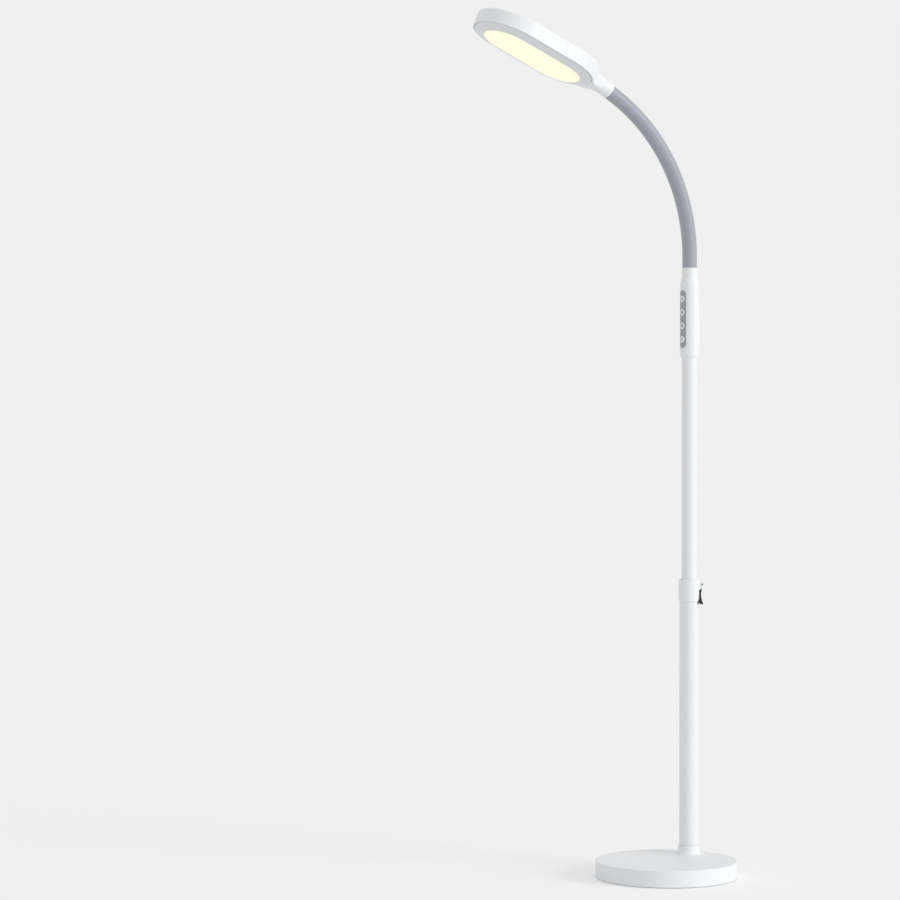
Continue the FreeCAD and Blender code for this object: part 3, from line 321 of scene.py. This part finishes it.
# %% Diffuser
opal = finish("opal_acrylic_lit", "#6b6a62", 0.38, 0.9, 0.004, shift=0.01)
opal_tree = opal.node_tree
opal_surface = opal_tree.nodes["surface"]
haze = add(opal_tree, "ShaderNodeTexNoise",
           {"Vector": opal_tree.nodes["Texture Coordinate"].outputs["Object"],
            "Scale": 1.0 / mm(60.0), "Detail": 1.0})
glow = add(opal_tree, "ShaderNodeMapRange", {0: haze.outputs["Fac"], 3: 0.79, 4: 0.83})
opal_tree.links.new(glow.outputs[0], opal_surface.inputs["Emission Strength"])
opal_surface.inputs["Emission Color"].default_value = linear("#fffbd9")
opal_surface.inputs["IOR"].default_value = 1.49
dress(opal, "diffuser")

# %% [markdown]
# **The lever.** The clamp's lever is black nylon filled with glass fibre: hard, slightly grey
# where the light grazes it, with a coarser grain than the white parts.

# %% Lever
black_nylon = finish("glass_filled_black_nylon", "#18191b", 0.38, 0.5, 0.02, shift=0.08, uneven=0.08)
dress(black_nylon, "clamp_lever")

# %% [markdown]
# **Metals.** The pin is bare stainless steel. Screws, bolts, nuts and the arm's fittings are
# zinc plated, the stop clip is blued spring steel, the base's bottom plate is galvanised sheet,
# and the weight is rough cast iron.

# %% Steel, zinc and iron
pin_steel = finish("turned_stainless_steel", "#6c6f73", 0.32, 0.3, 0.003, metallic=1.0)
dress(pin_steel, "lever_pin")
zinc = finish("zinc_plated_steel", "#b9bcc0", 0.3, 0.8, 0.004, shift=0.06, metallic=1.0)
dress(zinc, "base_screws", "pole_bolt", "pole_nut", "panel_screws", "head_screws",
      "neck_fitting_lower", "neck_nut_lower", "neck_fitting_upper", "neck_nut_upper")
spring_steel = finish("blued_spring_steel", "#5d6066", 0.34, 0.4, 0.003, metallic=1.0)
dress(spring_steel, "bush_clip")
galvanised = finish("galvanised_sheet_steel", "#a4a8ac", 0.42, 9.0, 0.01, shift=0.1, metallic=1.0)
dress(galvanised, "base_plate")
cast_iron = finish("rough_cast_iron", "#4a4a4b", 0.7, 1.4, 0.25, shift=0.12, metallic=0.7, uneven=0.12)
dress(cast_iron, "base_weight")

# %% [markdown]
# **Hidden plastics.** Bushes, plugs and the clamp's shoe are natural acetal, the inlet and the
# switches are black nylon, and the pad under the base is foam rubber. The parts behind the
# diffuser are made here as well: a clear acrylic guide, a silver film, printed boards and an
# aluminium back plate.

# %% Bushes, inlet and pad
acetal = finish("natural_acetal", "#e9e8e2", 0.4, 0.8, 0.004)
dress(acetal, "collar_bush", "clamp_pad", "guide_bush", "tube_end_plug", "handle_plug")
inlet_nylon = finish("moulded_black_nylon", "#1d1e20", 0.42, 0.4, 0.01, shift=0.05)
dress(inlet_nylon, "dc_jack", "push_switches")
foam_rubber = finish("closed_cell_foam_rubber", "#3a3b3d", 0.85, 0.6, 0.12, shift=0.08, uneven=0.08)
dress(foam_rubber, "foot_pad")

# %% Parts behind the window
film = finish("silvered_reflector_film", "#e6e8ea", 0.22, 1.5, 0.003, metallic=0.6)
dress(film, "reflector")
brushed = finish("rolled_aluminium_sheet", "#c9cbcd", 0.36, 0.5, 0.006, metallic=1.0)
dress(brushed, "back_plate")
green_board = finish("glass_epoxy_board", "#2f6b45", 0.35, 0.35, 0.01, shift=0.05)
dress(green_board, "switch_board")
white_board = finish("white_solder_mask_board", "#e8e9e6", 0.34, 0.4, 0.006)
dress(white_board, "led_strips")
guide = finish("clear_acrylic_guide", "#eef2f2", 0.12, 4.0, 0.003, shift=0.01, uneven=0.03)
guide.node_tree.nodes["surface"].inputs["Transmission Weight"].default_value = 0.9
guide.node_tree.nodes["surface"].inputs["IOR"].default_value = 1.49
dress(guide, "light_guide")

# %% [markdown]
# ## The sleeve on the flexible arm
#
# In the CAD model the arm is a chain of hard links. What the eye sees is one smooth sleeve that
# curves over them. We make it in twelve lengths, one over each hinge between two links. At rest
# the arm is a straight start, an arc of a circle and a straight end, so each length is a circle
# that is spun round the arc's centre, with a straight run extruded where the arc hasn't begun or
# is over.

# %% The arm's line
POLE = mm(-40.0, 67.0, 0.0)
BEND_RADIUS = mm(287.0)
BEND_START = mm(960.0)
SLEEVE_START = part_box("handle_body")[1][2]
LINK = mm(24.0)
LINKS = 12
HEAD_RUN = mm(18.0)           # straight run at the arm's end, up to the head's mouth
SLEEVE_RADIUS = mm(11.5)
SLEEVE_WALL = mm(1.4)
SLEEVE_SIDES = 56
BEND_STEPS = 6
SMOOTH_BELOW = math.radians(35)
BEND_CENTRE = Vector((POLE.x, POLE.y - BEND_RADIUS, BEND_START))
SIDEWAYS = Vector((1.0, 0.0, 0.0))


def arm_point(arc):
    """A point of the arm's centre line, arc metres past the start of the bend."""
    angle = arc / BEND_RADIUS
    return BEND_CENTRE + Vector((0.0, math.cos(angle), math.sin(angle))) * BEND_RADIUS


def arm_direction(arc):
    angle = arc / BEND_RADIUS
    return Vector((0.0, -math.sin(angle), math.cos(angle)))


print("arm's end at", tuple(round(value, 4) for value in arm_point(LINKS * LINK)))

# %% [markdown]
# A circle is a closed line with no face. Spinning it leaves an open tube, and a Solidify
# modifier then gives the tube its wall, inwards, so that the outside keeps its true size.

# %% One length of sleeve


def tidy_mesh(piece, away_from=None):
    """Merge doubles and turn all faces outwards: on an open tube, away from a point inside it."""
    bpy.ops.object.mode_set(mode="EDIT")
    bpy.ops.mesh.select_all(action="SELECT")
    bpy.ops.mesh.remove_doubles(threshold=mm(0.001))
    bpy.ops.mesh.normals_make_consistent(inside=False)
    bpy.ops.object.mode_set(mode="OBJECT")
    first = piece.data.polygons[0]
    if away_from is not None and first.normal.dot(first.center - away_from) < 0:
        piece.data.flip_normals()


def settle(piece):
    """Put the piece's place into its mesh."""
    clear_selection()
    piece.select_set(True)
    bpy.context.view_layer.objects.active = piece
    bpy.ops.object.transform_apply(location=True, rotation=True, scale=True)


def extrude(step):
    bpy.ops.mesh.extrude_region_move(TRANSFORM_OT_translate={"value": step})


def sleeve_length(number):
    """The sleeve over hinge number 1, 2, ... of the arm."""
    start = (number - 1) * LINK
    first = number == 1
    clear_selection()
    place = Vector((POLE.x, POLE.y, SLEEVE_START)) if first else arm_point(start)
    lean = start / BEND_RADIUS
    bpy.ops.mesh.primitive_circle_add(vertices=SLEEVE_SIDES, radius=SLEEVE_RADIUS, location=place,
                                      rotation=(lean, 0.0, 0.0))
    piece = bpy.context.object
    piece.name = f"sleeve_{number:02d}"
    settle(piece)
    bpy.ops.object.mode_set(mode="EDIT")
    bpy.ops.mesh.select_all(action="SELECT")
    if first:
        extrude(Vector((0.0, 0.0, BEND_START - SLEEVE_START)))
    bpy.ops.mesh.spin(steps=BEND_STEPS, angle=-LINK / BEND_RADIUS, center=BEND_CENTRE, axis=SIDEWAYS)
    if number == LINKS:
        extrude(arm_direction(LINKS * LINK) * HEAD_RUN)
    bpy.ops.object.mode_set(mode="OBJECT")
    tidy_mesh(piece, away_from=place)
    wall = piece.modifiers.new("wall", "SOLIDIFY")
    wall.thickness = SLEEVE_WALL
    wall.offset = -1.0
    bpy.ops.object.modifier_apply(modifier=wall.name)
    bpy.ops.object.shade_smooth_by_angle(angle=SMOOTH_BELOW)
    piece.data.materials.append(silicone)
    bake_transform(piece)
    covered = [f"gooseneck_link_{number:02d}"] + (["gooseneck_link_00"] if first else [])
    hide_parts(*covered)
    return piece


# %% All twelve lengths
for sleeve_number in range(1, LINKS + 1):
    made_sleeve = sleeve_length(sleeve_number)
print("sleeve pieces:", LINKS, "last one's faces:", len(made_sleeve.data.polygons))

# %% [markdown]
# ## The signs on the keys
#
# Each key carries a white ring and a plain sign: on and off, brighter, dimmer, and the colour of
# the light. On the real lamp they are pad printed, a film of ink a few hundredths of a millimetre
# thick on a crowned key. They could be painted by a material, but then their edge would blur
# from close by, so we draw them flat, lay them onto the crown with a Shrinkwrap and give the
# ink its thickness. A flat drawing can only follow a curve where it has points. The rings have
# enough of them, and the bars and the half disc are subdivided first.

# %% Ink
INK_THICKNESS = mm(0.05)
INK_LIFT = mm(0.012)
RING_RADIUS = mm(5.15)
RING_WIDTH = mm(2.05)
STROKE = mm(0.55)
RING_POINTS = 56
SIGN_POINTS = 40
DISC_HOLE = mm(0.15)          # the half disc is a ring with a hole too small to see
PRINT_DISTANCE = mm(8.0)      # how far before the key a drawing stands until it is wrapped

ink = finish("white_pad_printing_ink", "#f7f8f9", 0.34, 0.2, 0.002, shift=0.01)
ink.node_tree.nodes["surface"].inputs["Coat Weight"].default_value = 0.1
print(ink.name, "ring", round(RING_RADIUS / MM, 2), "mm")

# %% Drawing rings and bars flat


def drawn_ring(radius, width, points=RING_POINTS):
    """A flat ring round the origin, from a circle that is extruded inwards."""
    clear_selection()
    bpy.ops.mesh.primitive_circle_add(vertices=points, radius=radius)
    bpy.ops.object.mode_set(mode="EDIT")
    bpy.ops.mesh.select_all(action="SELECT")
    extrude(Vector((0.0, 0.0, 0.0)))
    inner = (radius - width) / radius
    bpy.ops.transform.resize(value=(inner, inner, 1.0))
    bpy.ops.object.mode_set(mode="OBJECT")
    return bpy.context.object


def drawn_bar(width, height, y=0.0):
    """A flat bar, cut across so that it can bend round the key."""
    clear_selection()
    bpy.ops.mesh.primitive_plane_add(size=1.0, location=(0.0, y, 0.0))
    bar = bpy.context.object
    bar.scale = (width, height, 1.0)
    settle(bar)
    bpy.ops.object.mode_set(mode="EDIT")
    bpy.ops.mesh.select_all(action="SELECT")
    bpy.ops.mesh.subdivide(number_cuts=4)
    bpy.ops.object.mode_set(mode="OBJECT")
    return bar


def open_at_top(ring, half_angle):
    """Take out the ring's faces within an angle of its top."""
    bpy.ops.object.mode_set(mode="EDIT")
    bpy.ops.mesh.select_mode(type="FACE")
    bpy.ops.mesh.select_all(action="DESELECT")
    bpy.ops.object.mode_set(mode="OBJECT")
    for face in ring.data.polygons:
        face.select = abs(math.degrees(math.atan2(face.center.x, face.center.y))) < half_angle
    bpy.ops.object.mode_set(mode="EDIT")
    bpy.ops.mesh.delete(type="FACE")
    bpy.ops.mesh.select_mode(type="VERT")
    bpy.ops.object.mode_set(mode="OBJECT")
    return ring


def half_disc(radius):
    """The right half of a disc, from rings of faces."""
    disc = drawn_ring(radius, radius - DISC_HOLE, points=SIGN_POINTS)
    bpy.ops.object.mode_set(mode="EDIT")
    bpy.ops.mesh.select_all(action="SELECT")
    bpy.ops.mesh.subdivide(number_cuts=2)
    bpy.ops.mesh.select_all(action="SELECT")
    bpy.ops.mesh.bisect(plane_co=(0.0, 0.0, 0.0), plane_no=(-1.0, 0.0, 0.0), clear_outer=True)
    bpy.ops.object.mode_set(mode="OBJECT")
    return disc


print("a ring's faces:", RING_POINTS)

# %% Laying a drawing onto a key


def key_face(node):
    """A key's centre and the level direction that it faces."""
    low, high = (Vector(corner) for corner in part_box(node))
    centre = (low + high) / 2
    return centre, Vector((centre.x - POLE.x, centre.y - POLE.y, 0.0)).normalized()


def print_on_key(name, body, *drawings):
    """Join flat drawings, stand them before a key and wrap them onto it."""
    clear_selection()
    for drawing in drawings:
        drawing.select_set(True)
    sign = drawings[0]
    bpy.context.view_layer.objects.active = sign
    if len(drawings) > 1:
        bpy.ops.object.join()
    sign.name = f"sign_{name}"
    tidy_mesh(sign, away_from=Vector((0.0, 0.0, -1.0)))
    centre, out = key_face(f"button_{name}")
    up = Vector((0.0, 0.0, 1.0))
    across = up.cross(out)
    sign.rotation_euler = Matrix((across, up, out)).transposed().to_euler()
    sign.location = centre + out * PRINT_DISTANCE
    settle(sign)
    wrap = sign.modifiers.new("wrap", "SHRINKWRAP")
    wrap.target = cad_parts[f"button_{name}"]
    wrap.wrap_method = "PROJECT"
    wrap.use_negative_direction = True
    wrap.use_positive_direction = False
    wrap.wrap_mode = "ABOVE_SURFACE"
    wrap.offset = INK_LIFT
    bpy.ops.object.modifier_apply(modifier=wrap.name)
    film = sign.modifiers.new("film", "SOLIDIFY")
    film.thickness = INK_THICKNESS
    film.offset = 1.0
    bpy.ops.object.modifier_apply(modifier=film.name)
    sign.data.materials.append(ink)
    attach(sign, body)
    return sign


# %% The four signs
POWER_RADIUS = mm(1.9)
POWER_OPENING = 40.0          # degrees to each side of the top
POWER_BAR = mm(1.7)
POWER_BAR_PLACE = mm(1.35)
SIGN_WIDTH = mm(3.4)
PLUS_ARM = mm(1.4)
PLUS_ARM_PLACE = mm(1.0)
COLOUR_RADIUS = mm(1.95)
COLOUR_LINE = mm(0.4)
HALF_RADIUS = mm(1.6)

power_sign = print_on_key(
    "power", "power_key", drawn_ring(RING_RADIUS, RING_WIDTH),
    open_at_top(drawn_ring(POWER_RADIUS, STROKE, points=SIGN_POINTS), POWER_OPENING),
    drawn_bar(STROKE, POWER_BAR, POWER_BAR_PLACE))
brighter_sign = print_on_key(
    "brighter", "brighter_key", drawn_ring(RING_RADIUS, RING_WIDTH), drawn_bar(SIGN_WIDTH, STROKE),
    drawn_bar(STROKE, PLUS_ARM, PLUS_ARM_PLACE), drawn_bar(STROKE, PLUS_ARM, -PLUS_ARM_PLACE))
dimmer_sign = print_on_key(
    "dimmer", "dimmer_key", drawn_ring(RING_RADIUS, RING_WIDTH), drawn_bar(SIGN_WIDTH, STROKE))
colour_sign = print_on_key(
    "colour", "colour_key", drawn_ring(RING_RADIUS, RING_WIDTH),
    drawn_ring(COLOUR_RADIUS, COLOUR_LINE, points=SIGN_POINTS), half_disc(HALF_RADIUS))
for made_sign in (power_sign, brighter_sign, dimmer_sign, colour_sign):
    print(made_sign.name, "faces", len(made_sign.data.polygons))

# %% [markdown]
# ## The last step
#
# The view layer is brought up to date. The dressed lamp has to stay inside the CAD
# model's box.

# %% Finish
bpy.context.view_layer.update()
